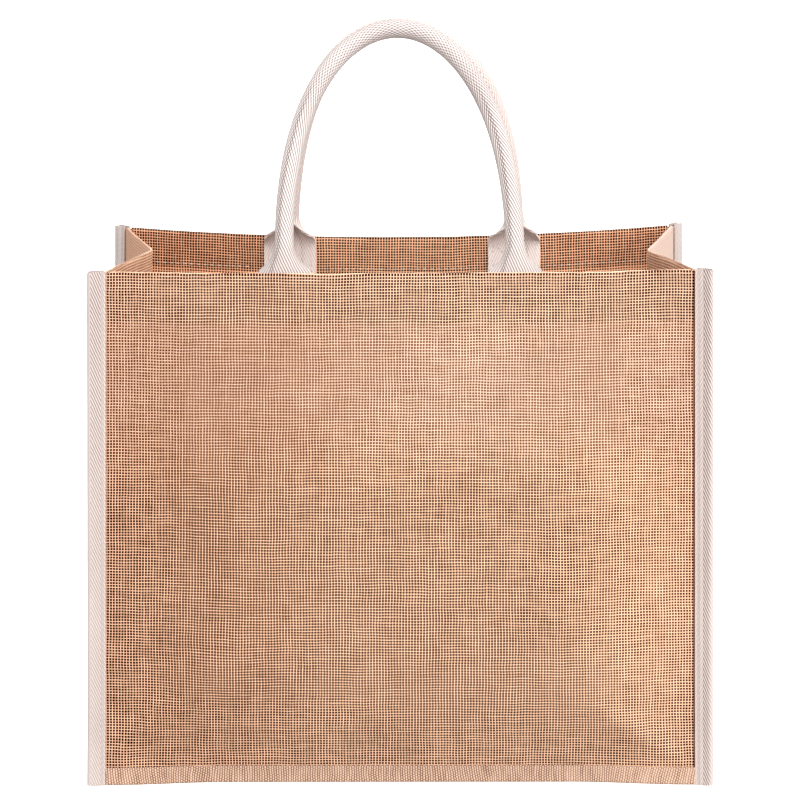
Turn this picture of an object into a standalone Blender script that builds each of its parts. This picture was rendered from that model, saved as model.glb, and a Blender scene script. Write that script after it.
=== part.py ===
# Burlap tote bag: four walls and a base of woven jute, cotton tape over the upright seams,
# a jute strip over each base seam, and two handles of cotton webbing curled into a tube.
# Metres. X runs across the front, the front faces -Y, and the bag stands on Z = 0.
import math

import bmesh
import bpy
import numpy as np

# Body of the bag, measured at the upright seams
BODY_HEIGHT = 0.350
TOP_WIDTH = 0.3856
FOOT_WIDTH = 0.3990
TOP_DEPTH = 0.1820
FOOT_DEPTH = 0.1880
CORNER_FLARE = 0.0040  # the foot of each upright seam turns this much further outward
FLARE_HEIGHT = 0.070

# Cloth
BURLAP = 0.0012
TAPE = 0.0010
WEBBING = 0.0014
GAP = 0.00035
HEM_DEPTH = 0.035
HEM_FADE = 0.004  # the turned-in layer of a hem stops this far from an upright seam
FLOOR_SNAP = 0.00012  # what comes this near the floor lies on it
MITRE_LIMIT = 0.45

# Upright seams: both cloths turn outward and lie flat together under the tape
SEAM_ALLOWANCE = 0.0098
FRONT_SEAM_TURN_TOP = math.radians(20)  # how far a front seam turns from the front's plane
FRONT_SEAM_TURN_FOOT = math.radians(27)
BACK_SEAM_TURN = math.radians(55)
TAPE_STATIONS = (0.0006, 0.0048, SEAM_ALLOWANCE)  # across the flat of the tape, from the seam
TAPE_TURN = np.radians((50, 16, -16, -50))  # round its outer edge
TAPE_RISE = 0.0010  # the tape stands this far above the walls
TAPE_CORNER = 0.0030
TAPE_CORNER_POWER = 8  # how fast the rounding of its top corner dies away below

# Base seams: wall and base hang down together in a folded strip, and the bag stands on it
STRIP_HEIGHT = 0.0120
FRONT_STRIP_CUT = 0.0012  # a strip's outer layer stops this far from an upright seam
BACK_STRIP_CUT = 0.0028
SIDE_STRIP_CUT = 0.0036
STRIP_INNER_CUT = 0.0090
STRIP_CLEAR = 0.00045
STRIP_ROUND = 0.0006
WALL_FOOT = 0.0030  # lowest edge of the cloths inside the strip
BASE_LEVEL = 0.0131
BASE_SAG = 0.0055

# Front: crowned low down, set back along its foot, a little forward at its top
FRONT_CROWN = 0.0110
FRONT_TOP_SHARE = 0.45
FRONT_FULL_HEIGHT = 0.110  # above this the front's crown lessens
CROWN_RISE = 0.085
CROWN_REACH = 0.50  # share of the half width over which the crown rises from a seam
CROWN_POWER = 0.8
SET_BACK = 0.0062
SET_BACK_HEIGHT = 0.050
SET_BACK_SHARES = (0.02, 0.42)
TOP_EDGE_SAG = 0.0010
SAG_START = 0.250

# Back: drawn in toward the front at the top, crowned low down like the front
BACK_CROWN = 0.0085
BACK_CROWN_HEIGHTS = (0.10, 0.24)  # between these its crown dies away
BACK_DRAWN_IN = 0.0319
DRAWN_IN_HEIGHTS = (0.03, 0.392)

# Gussets: folded inward along their middle, with a paper-bag fold at the foot
FOLD_AT_TOP = 0.0236
FOLD_APEX_HEIGHT = 0.095
FOLD_SOFTNESS = 0.0015
CREASE_ROUND = 0.03
GUSSET_CROWN = 0.0042

# Right-hand seams stand a little higher than the left-hand ones
TOP_TILT = 0.0014

# Handles
WEBBING_WIDTH = 0.0365
HANDLE_TAB = 0.036  # flat length sewn to the wall's inner face
TAB_CLEAR = 0.00075
CURL_START = -0.003  # heights from the wall's top edge between which the webbing curls up
CURL_END = 0.019
CURL_CLOSED = 0.985
TUBE_NARROWING = 0.86
TUBE_DEEPENING = 1.10
LOOP_HEIGHT = 0.1523  # top edge to the crest of the webbing's outer line
LOOP_SQUARENESS = 2.5
LOOP_START_ANGLES = (0.0, 0.018, 0.042, 0.07, 0.105)  # close together where it curls up
LOOP_ANGLES = tuple(np.linspace(0.16, math.pi / 2, 14))
TAB_STEPS = (1.0, 0.64, 0.31)
WEBBING_COLUMNS = 11
LEAN_EASE = 1.25
CREST_APART = 0.0132  # from the bag's middle plane to the webbing's outer line at the crest

FRONT = -1
BACK = 1
LEFT = -1
RIGHT = 1
SIDE_NAMES = {LEFT: "left", RIGHT: "right"}
FACE_NAMES = {FRONT: "front", BACK: "back"}

# Soft folds of the walls. across and height: the middle, long and short: half sizes,
# turn: degrees from level, out: how far the cloth stands out (or in, below 0).
# The fades are where folds begin: from a seam, as a share of the half width, and from
# the foot, as a height
FOLD_SEAM_FADE = (0.005, 0.06)
FOLD_FOOT_FADE = (0.010, 0.022)
FOLD_COLUMNS = ("across", "height", "long", "short", "turn", "out")
FRONT_FOLDS = (
    (-0.170, 0.040, 0.045, 0.0080, 44, 0.0022),  # up from the left foot corner
    (0.158, 0.037, 0.050, 0.0085, -34, 0.0024),  # up from the right foot corner
    (-0.118, 0.088, 0.040, 0.0120, 30, 0.0014),
    (0.168, 0.036, 0.014, 0.0045, 82, -0.0012),  # short upright dent by the right tape
    (-0.145, 0.165, 0.105, 0.0250, 78, -0.0022),  # long hollow down the left
    (-0.086, 0.230, 0.070, 0.0200, 70, 0.0012),
    (0.120, 0.190, 0.110, 0.0260, 97, 0.0016),
    (0.060, 0.125, 0.080, 0.0300, 12, 0.0012),
    (-0.098, 0.327, 0.018, 0.0080, 80, -0.0012),  # dents in the hem below the handles
    (0.022, 0.329, 0.015, 0.0070, 95, -0.0009),
    (0.054, 0.327, 0.016, 0.0075, 75, -0.0012),
    (0.000, 0.311, 0.190, 0.0060, 0, -0.0006),  # along the hem's lower edge
)
BACK_FOLDS = (
    (-0.165, 0.040, 0.048, 0.0085, 40, 0.0022),
    (0.168, 0.042, 0.045, 0.0080, -43, 0.0022),
    (0.130, 0.170, 0.100, 0.0260, 100, -0.0022),
    (-0.110, 0.200, 0.100, 0.0240, 82, 0.0016),
    (0.020, 0.120, 0.090, 0.0320, -8, 0.0012),
    (0.092, 0.325, 0.017, 0.0080, 96, -0.0011),
    (-0.060, 0.327, 0.016, 0.0075, 82, -0.0010),
    (0.000, 0.311, 0.190, 0.0060, 0, -0.0006),
)
GUSSET_SEAM_FADE = (0.02, 0.15)
GUSSET_FOOT_FADE = (0.015, 0.050)
GUSSET_FOLD_COLUMNS = ("along", "height", "long", "short", "turn", "out")
GUSSET_FOLDS = {
    LEFT: (
        (-0.055, 0.200, 0.080, 0.0160, 84, 0.0012),
        (0.050, 0.235, 0.070, 0.0170, 96, -0.0012),
        (-0.030, 0.120, 0.040, 0.0110, 38, -0.0010),
    ),
    RIGHT: (
        (-0.052, 0.225, 0.075, 0.0160, 97, -0.0012),
        (0.056, 0.190, 0.080, 0.0170, 85, 0.0012),
        (0.034, 0.115, 0.042, 0.0110, -36, -0.0010),
    ),
}

# Handles. spread: half the distance between the legs, centre: middle of the tabs,
# sway: how far the loop leans across at half height, crest: its lean at the top
HANDLE_COLUMNS = ("spread", "centre", "sway", "crest")
HANDLES = {
    FRONT: (0.0757, 0.0000, -0.0002, -0.0020),
    BACK: (0.0788, 0.0017, 0.0024, -0.0015),
}

# Columns of the sheets, as shares of the half width or half depth
WALL_SHARES = (0.0, 0.10, 0.20, 0.30, 0.40, 0.50, 0.60, 0.69, 0.77, 0.84, 0.90, 0.945)
WALL_LAST_SHARE = 0.978
GUSSET_SHARES = (0.0, 0.04, 0.11, 0.24, 0.42, 0.60, 0.78, 0.91)
BASE_SHARES = (0.0, 0.30, 0.50, 0.60, 0.69, 0.77, 0.84, 0.90)
BASE_SIDE_SHARES = (0.0, 0.30, 0.62)
SIDE_STRIP_STATIONS = 7

# Rows of the walls and gussets, as heights
FOOT_ROWS = (WALL_FOOT, 0.0125, 0.026, 0.041, 0.058, 0.078)
MIDDLE_ROWS = np.linspace(0.104, BODY_HEIGHT - HEM_DEPTH - 0.022, 6)
HEM_STEP = 0.0007  # half the height of the step at the hem's lower edge
HEM_ROWS = (0.012, 0.024, HEM_DEPTH)  # above the hem's lower edge

SHARP_ANGLE = math.radians(40)

# Colours, roughness
BURLAP_LOOK = ((0.58, 0.37, 0.22), 0.92)
STRIP_LOOK = ((0.60, 0.39, 0.24), 0.92)
TAPE_LOOK = ((0.80, 0.71, 0.67), 0.88)
WEBBING_LOOK = ((0.86, 0.80, 0.76), 0.86)


def mix(a, b, share):
    return a + (b - a) * share


def ease(x, low, high):
    """0 below low, 1 above high, and a smooth step between them."""
    t = np.clip((x - low) / (high - low), 0, 1)
    return t * t * (3 - 2 * t)


def fold_heights(rows, columns, across, height):
    """The sum of the soft folds in a table, at places on a wall."""
    total = np.zeros(np.broadcast(across, height).shape)
    for row in rows:
        fold = dict(zip(columns, row))
        turn = math.radians(fold["turn"])
        dx = across - fold[columns[0]]
        dz = height - fold["height"]
        along = (dx * math.cos(turn) + dz * math.sin(turn)) / fold["long"]
        over = (dz * math.cos(turn) - dx * math.sin(turn)) / fold["short"]
        total = total + fold["out"] * np.exp(-along**2 - over**2)
    return total


def half_width(z):
    return mix(FOOT_WIDTH, TOP_WIDTH, z / BODY_HEIGHT) / 2


def half_depth(z):
    flare = CORNER_FLARE * np.clip(1 - z / FLARE_HEIGHT, 0, 1) ** 2
    return mix(FOOT_DEPTH, TOP_DEPTH, z / BODY_HEIGHT) / 2 + flare


def seam(side, face, z):
    """An upright seam at height z: its place, the way its allowances point, and the way
    across them toward the front or back wall."""
    if face == FRONT:
        turn = mix(FRONT_SEAM_TURN_FOOT, FRONT_SEAM_TURN_TOP, z / BODY_HEIGHT)
    else:
        turn = BACK_SEAM_TURN + 0 * z
    place = np.stack([side * half_width(z), face * half_depth(z)], -1)
    along = np.stack([side * np.cos(turn), face * np.sin(turn)], -1)
    across = np.stack([-side * np.sin(turn), face * np.cos(turn)], -1)
    return place, along, across


def seam_point(side, face, z, out, over):
    """A point of an upright seam, out along the allowances and over toward the wall."""
    place, along, across = seam(side, face, z)
    return place + along * out + across * over


def wall_profile(face, u, z):
    """How far a front or back wall stands out from the straight line between its seams."""
    edge = 1 - np.abs(u)
    crown = ease(z, 0.0, CROWN_RISE) * ease(edge, 0.0, CROWN_REACH) ** CROWN_POWER
    set_back = SET_BACK * ease(edge, *SET_BACK_SHARES) * (1 - ease(z, 0.0, SET_BACK_HEIGHT))
    x = u * half_width(z)
    fade = ease(edge, *FOLD_SEAM_FADE) * ease(z, *FOLD_FOOT_FADE)
    if face == FRONT:
        level = mix(1.0, FRONT_TOP_SHARE, ease(z, FRONT_FULL_HEIGHT, BODY_HEIGHT))
        folds = fold_heights(FRONT_FOLDS, FOLD_COLUMNS, x, z)
        return FRONT_CROWN * crown * level - set_back + folds * fade
    level = 1 - ease(z, *BACK_CROWN_HEIGHTS)
    drawn_in = BACK_DRAWN_IN * ease(z, *DRAWN_IN_HEIGHTS) * (1 - u * u)
    folds = fold_heights(BACK_FOLDS, FOLD_COLUMNS, x, z)
    return BACK_CROWN * crown * level - set_back - drawn_in + folds * fade


def wall_point(face, u, z):
    """Mid-surface of the front or back wall, u from -1 at the left seam to 1."""
    over = (BURLAP + GAP) / 2
    left = seam_point(LEFT, face, z, 0, over)
    right = seam_point(RIGHT, face, z, 0, over)
    flat = mix(left, right, ((u + 1) / 2)[..., None])
    y = flat[..., 1] + face * wall_profile(face, u, z)
    sag = TOP_EDGE_SAG * (1 - u * u) * ease(z, SAG_START, BODY_HEIGHT)
    return np.stack([flat[..., 0], y, z - sag], -1)


def gusset_fold(v, z):
    """How far a gusset's paper-bag fold stands in at v, from -1 at the front seam to 1."""
    rounded = np.sqrt(v * v + CREASE_ROUND**2) - CREASE_ROUND
    away = rounded / (math.sqrt(1 + CREASE_ROUND**2) - CREASE_ROUND)
    lean = FOLD_AT_TOP * z / BODY_HEIGHT
    apex = FOLD_AT_TOP * FOLD_APEX_HEIGHT / BODY_HEIGHT
    halves = np.maximum(lean, apex) * (1 - away)
    soft = np.minimum(FOLD_SOFTNESS, lean / 2) + 1e-9
    share = np.clip(0.5 + 0.5 * (halves - lean) / soft, 0, 1)
    folded = mix(halves, lean, share) - soft * share * (1 - share)
    return folded - GUSSET_CROWN * 4 * away * (1 - away) * z / BODY_HEIGHT


def gusset_point(side, v, z):
    """Mid-surface of a gusset."""
    over = -(BURLAP + GAP) / 2
    front = seam_point(side, FRONT, z, 0, over)
    back = seam_point(side, BACK, z, 0, over)
    flat = mix(front, back, ((v + 1) / 2)[..., None])
    away = 1 - np.abs(v)
    folds = fold_heights(GUSSET_FOLDS[side], GUSSET_FOLD_COLUMNS, flat[..., 1], z)
    folds = folds * ease(away, *GUSSET_SEAM_FADE) * ease(z, *GUSSET_FOOT_FADE)
    x = flat[..., 0] - side * (gusset_fold(v, z) - folds)
    return np.stack([x, flat[..., 1], z + 0 * v], -1)


def tilt(points):
    """Raises the right-hand side a little and lowers the left, more toward the top."""
    out = np.array(points, dtype=float)
    share = (out[..., 2] / BODY_HEIGHT) ** 2
    out[..., 2] = out[..., 2] + TOP_TILT / TOP_WIDTH * out[..., 0] * share
    return out


def both_sides(shares):
    """Shares from -1 to 1 out of those from 0 up."""
    positive = np.array(shares + (1.0,))
    return np.concatenate([-positive[:0:-1], positive])


def surface_normals(points, cells):
    """Offsets that keep an even thickness: the mean of the faces' normals round each
    point, lengthened at a bend."""
    diagonal_1 = points[1:, 1:] - points[:-1, :-1]
    diagonal_2 = points[:-1, 1:] - points[1:, :-1]
    normal = np.cross(diagonal_1, diagonal_2)
    length = np.linalg.norm(normal, axis=-1, keepdims=True)
    normal = normal / np.maximum(length, 1e-12) * cells[..., None]
    total = np.zeros_like(points)
    count = np.zeros(points.shape[:2])
    for rows in (slice(0, -1), slice(1, None)):
        for columns in (slice(0, -1), slice(1, None)):
            total[rows, columns] += normal
            count[rows, columns] += cells
    mean = total / np.maximum(count, 1)[..., None]
    size = np.sum(mean * mean, axis=-1, keepdims=True)
    return mean / np.maximum(size, MITRE_LIMIT)


def build_sheet(name, points, thickness, look, extra=0, cells=None, floor_row=False):
    """A closed sheet about a grid of mid-surface points: its outer side, extruded to its
    inner one. extra thickens the side that faces into the bag, cells leaves grid squares
    out, and floor_row puts the first row on the floor."""
    points = tilt(points)
    rows, columns = points.shape[:2]
    if cells is None:
        cells = np.ones((rows - 1, columns - 1), bool)
    offset = surface_normals(points, cells)
    inner = np.full((rows, columns), thickness / 2) + extra
    outer_side = points - offset * thickness / 2
    inner_side = points + offset * inner[..., None]
    for grid in (outer_side, inner_side):
        if floor_row:
            grid[0, :, 2] = 0
        grid[np.abs(grid[..., 2]) < FLOOR_SNAP, 2] = 0
    sheet = bmesh.new()
    number = sheet.verts.layers.int.new("number")
    made = {}
    for i, j in zip(*np.nonzero(cells)):
        corners = ((i, j), (i, j + 1), (i + 1, j + 1), (i + 1, j))
        for at in corners:
            if at not in made:
                made[at] = sheet.verts.new(outer_side[at])
                made[at][number] = int(at[0] * columns + at[1])
        sheet.faces.new([made[at] for at in corners])
    raised = bmesh.ops.extrude_face_region(sheet, geom=sheet.faces[:], use_keep_orig=True)
    for item in raised["geom"]:
        if isinstance(item, bmesh.types.BMVert):
            item.co = inner_side[divmod(item[number], columns)]
    bmesh.ops.recalc_face_normals(sheet, faces=sheet.faces[:])
    sheet.verts.layers.int.remove(number)
    mesh = bpy.data.meshes.new(name)
    sheet.to_mesh(mesh)
    sheet.free()
    mesh.shade_smooth()
    mesh.set_sharp_from_angle(angle=SHARP_ANGLE)
    mesh.materials.append(make_material(name, look))
    piece = bpy.data.objects.new(name, mesh)
    bpy.context.collection.objects.link(piece)


def make_material(name, look):
    colour, roughness = look
    material = bpy.data.materials.new(name)
    material.use_nodes = True
    shader = material.node_tree.nodes["Principled BSDF"]
    shader.inputs["Base Color"].default_value = (*colour, 1)
    shader.inputs["Roughness"].default_value = roughness
    shader.inputs["Metallic"].default_value = 0
    return material


def wall_rows():
    """Heights of a wall's rows, with a pair close together at the hem's lower edge."""
    hem = BODY_HEIGHT - HEM_DEPTH
    high = [hem - HEM_STEP, hem + HEM_STEP] + [hem + rise for rise in HEM_ROWS]
    return np.concatenate([FOOT_ROWS, MIDDLE_ROWS, high])


def hem_thickness(rows, from_seam):
    """The turned-in layer: one cloth thick above the hem's lower edge, clear of seams."""
    inside = (rows > BODY_HEIGHT - HEM_DEPTH)[:, None]
    return BURLAP * (inside & (from_seam > HEM_FADE)[None, :])


def allowance_columns(side, face, rows, over):
    """Points of a seam allowance from its edge inward, one column each."""
    found = []
    for out in (SEAM_ALLOWANCE, SEAM_ALLOWANCE / 2):
        flat = seam_point(side, face, rows, out, over)
        found.append(np.concatenate([flat, rows[:, None]], -1))
    return np.stack(found, 1)


def build_wall(face):
    rows = wall_rows()
    u = both_sides(WALL_SHARES + (WALL_LAST_SHARE,))
    middle = wall_point(face, *np.meshgrid(u, rows))
    over = (BURLAP + GAP) / 2
    left = allowance_columns(LEFT, face, rows, over)
    right = allowance_columns(RIGHT, face, rows, over)[:, ::-1]
    points = np.concatenate([left, middle, right], 1)
    from_seam = np.concatenate([[0, 0], (1 - np.abs(u)) * TOP_WIDTH / 2, [0, 0]])
    extra = hem_thickness(rows, from_seam)
    if face == BACK:
        points = points[:, ::-1]
    build_sheet(f"{FACE_NAMES[face]}_panel", points, BURLAP, BURLAP_LOOK, extra)


def build_gusset(side):
    rows = wall_rows()
    v = both_sides(GUSSET_SHARES)
    middle = gusset_point(side, *np.meshgrid(v, rows))
    over = -(BURLAP + GAP) / 2
    front = allowance_columns(side, FRONT, rows, over)
    back = allowance_columns(side, BACK, rows, over)[:, ::-1]
    points = np.concatenate([front, middle, back], 1)
    from_seam = np.concatenate([[0, 0], (1 - np.abs(v)) * TOP_DEPTH / 2, [0, 0]])
    extra = hem_thickness(rows, from_seam)
    if side == LEFT:
        points = points[:, ::-1]
    build_sheet(f"gusset_{SIDE_NAMES[side]}", points, BURLAP, BURLAP_LOOK, extra)


def build_tape(face, side):
    """A strip folded round an upright seam, its top corners rounded."""
    over = BURLAP + GAP / 2 + GAP + TAPE / 2
    turn = SEAM_ALLOWANCE + over * np.cos(TAPE_TURN)
    outs = np.concatenate([TAPE_STATIONS, turn, TAPE_STATIONS[::-1]])
    flat = np.full(len(TAPE_STATIONS), over)
    overs = np.concatenate([flat, over * np.sin(TAPE_TURN), -flat])
    rows = wall_rows()[1:-1]
    inner = rows[np.abs(rows - BODY_HEIGHT + HEM_DEPTH) > HEM_FADE]
    heights = np.concatenate([[0.0], inner, [BODY_HEIGHT + TAPE_RISE]])
    edge = SEAM_ALLOWANCE + over + TAPE / 2
    past = np.clip((outs - edge + TAPE_CORNER) / TAPE_CORNER, 0, 1)
    drop = TAPE_CORNER * (1 - np.sqrt(1 - past**2))
    points = []
    for height in heights:
        z = height - drop * (height / heights[-1]) ** TAPE_CORNER_POWER
        row = seam_point(side, face, z, outs[:, None], overs[:, None])
        points.append(np.concatenate([row, z[:, None]], -1))
    name = f"tape_{FACE_NAMES[face]}_{SIDE_NAMES[side]}"
    build_sheet(name, np.array(points), TAPE, TAPE_LOOK, floor_row=True)


def strip_section():
    """Section of a base strip: how far in from the wall's mid-surface, and the height."""
    out = -(BURLAP + STRIP_CLEAR)
    into = 2 * (BURLAP + STRIP_CLEAR)
    foot = BURLAP / 2
    top = STRIP_HEIGHT
    return np.array(
        [
            (out, top),
            (out, WALL_FOOT),
            (out, foot + STRIP_ROUND),
            (out + STRIP_ROUND, foot),
            (into - STRIP_ROUND, foot),
            (into, foot + STRIP_ROUND),
            (into, WALL_FOOT),
            (into, top - GAP),
        ]
    )


def build_strip(name, wall_at, shares, cuts):
    """A folded strip along the foot of a wall. wall_at gives the wall's mid-surface and
    the level way into the bag at a share along it, and cuts the share left free at the
    ends of the outer and inner layers."""
    section = strip_section()
    depth = (section[:, 0] - section[0, 0]) / (section[-1, 0] - section[0, 0])
    points = []
    for share in shares:
        reach = 1 - mix(cuts[0], cuts[1], depth)
        place, inward = wall_at(share * reach, section[:, 1])
        points.append(place + inward * section[:, :1])
    points = np.array(points)
    points[..., 2] = section[None, :, 1]
    build_sheet(name, points, BURLAP, STRIP_LOOK)


def build_wall_strip(face):
    def wall_at(u, z):
        inward = np.array([0.0, -face, 0.0])
        return wall_point(face, u, z), inward

    half = FOOT_WIDTH / 2
    outer = FRONT_STRIP_CUT if face == FRONT else BACK_STRIP_CUT
    cuts = (outer / half, STRIP_INNER_CUT / half)
    name = f"base_binding_{FACE_NAMES[face]}"
    build_strip(name, wall_at, both_sides(WALL_SHARES), cuts)


def build_side_strip(side):
    def wall_at(v, z):
        inward = np.array([-side, 0.0, 0.0])
        return gusset_point(side, v, z), inward

    half = FOOT_DEPTH / 2
    cuts = (SIDE_STRIP_CUT / half, STRIP_INNER_CUT / half)
    name = f"base_binding_{SIDE_NAMES[side]}"
    build_strip(name, wall_at, np.linspace(-1, 1, SIDE_STRIP_STATIONS), cuts)


def build_base():
    """The base: a sagging rectangle whose four edges turn down inside the walls."""
    inset = BURLAP + STRIP_CLEAR
    us = both_sides(BASE_SHARES + (1 - STRIP_INNER_CUT / (FOOT_WIDTH / 2),))
    vs = both_sides(BASE_SIDE_SHARES + (1 - STRIP_INNER_CUT / (FOOT_DEPTH / 2),))
    columns = len(us) + 2
    rows = len(vs) + 2
    points = np.zeros((rows, columns, 3))
    for i in range(rows):
        for j in range(columns):
            u = us[min(max(j - 1, 0), len(us) - 1)]
            v = vs[min(max(i - 1, 0), len(vs) - 1)]
            turned_down = i in (0, rows - 1) or j in (0, columns - 1)
            z = WALL_FOOT if turned_down else BASE_LEVEL
            left = gusset_point(LEFT, np.array(v), np.array(z))[0] + inset
            right = gusset_point(RIGHT, np.array(v), np.array(z))[0] - inset
            front = wall_point(FRONT, np.array(u), np.array(z))[1] + inset
            back = wall_point(BACK, np.array(u), np.array(z))[1] - inset
            sag = BASE_SAG * (1 - u**4) * (1 - v**4)
            x = mix(left, right, (u + 1) / 2)
            y = mix(front, back, (v + 1) / 2)
            points[i, j] = (x, y, z if turned_down else z - sag)
    cells = np.ones((rows - 1, columns - 1), bool)
    for i in (0, 1, -2, -1):
        for j in (0, 1, -2, -1):
            cells[i, j] = i in (1, -2) and j in (1, -2)
    build_sheet("base_panel", points, BURLAP, BURLAP_LOOK, cells=cells)


def webbing_section(curl):
    """Across the webbing, flat at curl 0 and a closed tube at 1: sideways and inward."""
    share = np.linspace(-1, 1, WEBBING_COLUMNS)
    side = WEBBING_WIDTH / 2 * share * np.sinc(curl * share)
    inward = WEBBING_WIDTH * math.pi * curl * share**2 / 4 * np.sinc(curl * share / 2) ** 2
    side = side * mix(1, TUBE_NARROWING, curl)
    inward = inward * mix(1, TUBE_DEEPENING, curl)
    return side, inward


def tab_point(face, x, z):
    """Mid-surface of the webbing where it lies on the wall's inner face."""
    u = x / half_width(z)
    place = wall_point(face, u, z)
    clear = BURLAP / 2 + BURLAP + TAB_CLEAR + WEBBING / 2
    return place - np.array([0, face * clear, 0])


def handle_line(face):
    """The webbing's middle line from tab to tab: places, ways in, curls and legs."""
    handle = dict(zip(HANDLE_COLUMNS, HANDLES[face]))
    top = tab_point(face, np.array(handle["spread"]), np.array(BODY_HEIGHT))
    crest = face * CREST_APART
    leg = [(0.0, -HANDLE_TAB * step) for step in TAB_STEPS]
    for theta in LOOP_START_ANGLES + LOOP_ANGLES:
        rise = math.sin(theta) ** (2 / LOOP_SQUARENESS)
        leg.append((theta, LOOP_HEIGHT * rise))
    places = []
    inwards = []
    curls = []
    for side in (LEFT, RIGHT):
        half = []
        for theta, height in leg:
            share = max(height, 0) / LOOP_HEIGHT
            sway = handle["sway"] * math.sin(math.pi * share) + handle["crest"] * share
            x = handle["centre"] + side * handle["spread"] * math.cos(theta) + sway
            if height <= 0:
                place = tab_point(face, np.array(x), np.array(BODY_HEIGHT + height))
                inward = np.array([0.0, -face, 0.0])
            else:
                y = mix(top[1], crest, share**LEAN_EASE)
                place = np.array([x, y, top[2] + height])
                slope = (crest - top[1]) * LEAN_EASE * share ** (LEAN_EASE - 1)
                inward = np.array([0.0, -face * LOOP_HEIGHT, face * slope])
                inward /= np.linalg.norm(inward)
            curl = CURL_CLOSED * float(ease(height, CURL_START, CURL_END))
            half.append((place, inward, curl))
        if side == RIGHT:
            half = half[-2::-1]
        for place, inward, curl in half:
            places.append(place)
            inwards.append(inward)
            curls.append(curl)
    return np.array(places), np.array(inwards), curls


def build_handle(face):
    places, inwards, curls = handle_line(face)
    along = np.gradient(places, axis=0)
    along /= np.linalg.norm(along, axis=-1, keepdims=True)
    points = []
    for place, inward, way, curl in zip(places, inwards, along, curls):
        side, into = webbing_section(curl)
        inward = inward - way * inward.dot(way)
        inward /= np.linalg.norm(inward)
        sideways = np.cross(way, inward)
        ring = place + sideways * side[:, None] + inward * into[:, None]
        on_wall = tab_point(face, ring[:, 0], np.full(len(ring), min(place[2], BODY_HEIGHT)))
        level = tab_point(face, np.array(place[0]), np.array(min(place[2], BODY_HEIGHT)))
        ring[:, 1] += (on_wall[:, 1] - level[1]) * (1 - curl) ** 2
        points.append(ring)
    name = f"handle_{FACE_NAMES[face]}"
    build_sheet(name, np.array(points), WEBBING, WEBBING_LOOK)


def build_bag():
    for old in list(bpy.data.objects):
        bpy.data.objects.remove(old)
    for face in (FRONT, BACK):
        build_wall(face)
        build_wall_strip(face)
        build_handle(face)
        for side in (LEFT, RIGHT):
            build_tape(face, side)
    for side in (LEFT, RIGHT):
        build_gusset(side)
        build_side_strip(side)
    build_base()


build_bag()
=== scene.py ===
# A burlap tote bag on a white table, dressed piece by piece over its CAD frame.
# Metres. X runs across the front, the front faces -Y and the bag stands on Z = 0.
import math
from functools import partial, partialmethod

import bmesh
import bpy
import numpy as np
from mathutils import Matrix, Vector


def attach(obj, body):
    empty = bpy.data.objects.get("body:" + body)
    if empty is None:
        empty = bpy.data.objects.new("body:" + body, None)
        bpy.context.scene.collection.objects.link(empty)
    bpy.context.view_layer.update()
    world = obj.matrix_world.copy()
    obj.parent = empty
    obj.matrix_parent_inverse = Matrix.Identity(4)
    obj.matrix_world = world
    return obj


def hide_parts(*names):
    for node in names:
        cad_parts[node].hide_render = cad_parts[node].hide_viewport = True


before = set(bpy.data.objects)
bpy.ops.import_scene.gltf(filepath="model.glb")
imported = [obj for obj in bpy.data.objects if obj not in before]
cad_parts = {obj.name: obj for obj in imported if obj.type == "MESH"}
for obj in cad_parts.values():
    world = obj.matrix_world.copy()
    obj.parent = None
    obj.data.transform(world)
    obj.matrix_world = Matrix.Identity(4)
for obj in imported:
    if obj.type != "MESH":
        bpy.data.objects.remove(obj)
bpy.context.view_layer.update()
print("frame loaded")

left, right = -1, 1
front, back = -1, 1
sideNames = {left: "Left", right: "Right"}
faceNames = {front: "Front", back: "Back"}


# The shape that all the cloth follows

bag = {
    "height": 0.350,
    "topWidth": 0.3856,
    "footWidth": 0.3990,
    "topDepth": 0.1820,
    "footDepth": 0.1880,
    "cornerFlare": 0.0040,
    "flareHeight": 0.070,
    "middle": 0.2,  # the height at which a cloth's own width is taken
    "layer": 0.0012,  # one cloth, as the frame has it
    "gap": 0.00035,
    "allowance": 0.0098,
    "steps": (1.0, 0.66, 0.33),  # across an allowance, from its edge to the seam
    "frontTurnTop": math.radians(20),
    "frontTurnFoot": math.radians(27),
    "backTurn": {left: math.radians(45), right: math.radians(55)},
    "tilt": 0.0014,  # the right-hand side stands this much higher
    "wallFoot": 0.0016,
}
seamOver = (bag["layer"] + bag["gap"]) / 2  # from a seam to the middle of the cloth beside it

burlap = {
    "thick": 0.0011,
    "cell": 0.0028,  # size of the mesh's squares
    "hemDepth": 0.0332,
    "hemRound": 0.00062,  # radius of the fold along a top edge
    "hemTurns": 7,
    "hemClear": 0.0029,  # the turned-in layer stops this far from a seam
    "ripple": 0.00030,
    "rippleLengths": (0.085, 0.018),
    "rippleCount": 16,
    "creaseLimit": 0.45,  # holds a sheet's thickness back at its sharpest creases
    "sharp": math.radians(50),  # faces that turn more than this meet in an edge
}


def mix(a, b, share):
    return a + (b - a) * share


def ease(x, low, high):
    t = np.clip((x - low) / (high - low), 0, 1)
    return t * t * (3 - 2 * t)


def foldHeights(folds, across, height):
    total = np.zeros(np.broadcast(across, height).shape)
    for place, level, long, short, turn, out in folds:
        turn = math.radians(turn)
        dx = across - place
        dz = height - level
        along = (dx * math.cos(turn) + dz * math.sin(turn)) / long
        over = (dz * math.cos(turn) - dx * math.sin(turn)) / short
        total = total + out * np.exp(-along**2 - over**2)
    return total


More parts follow.
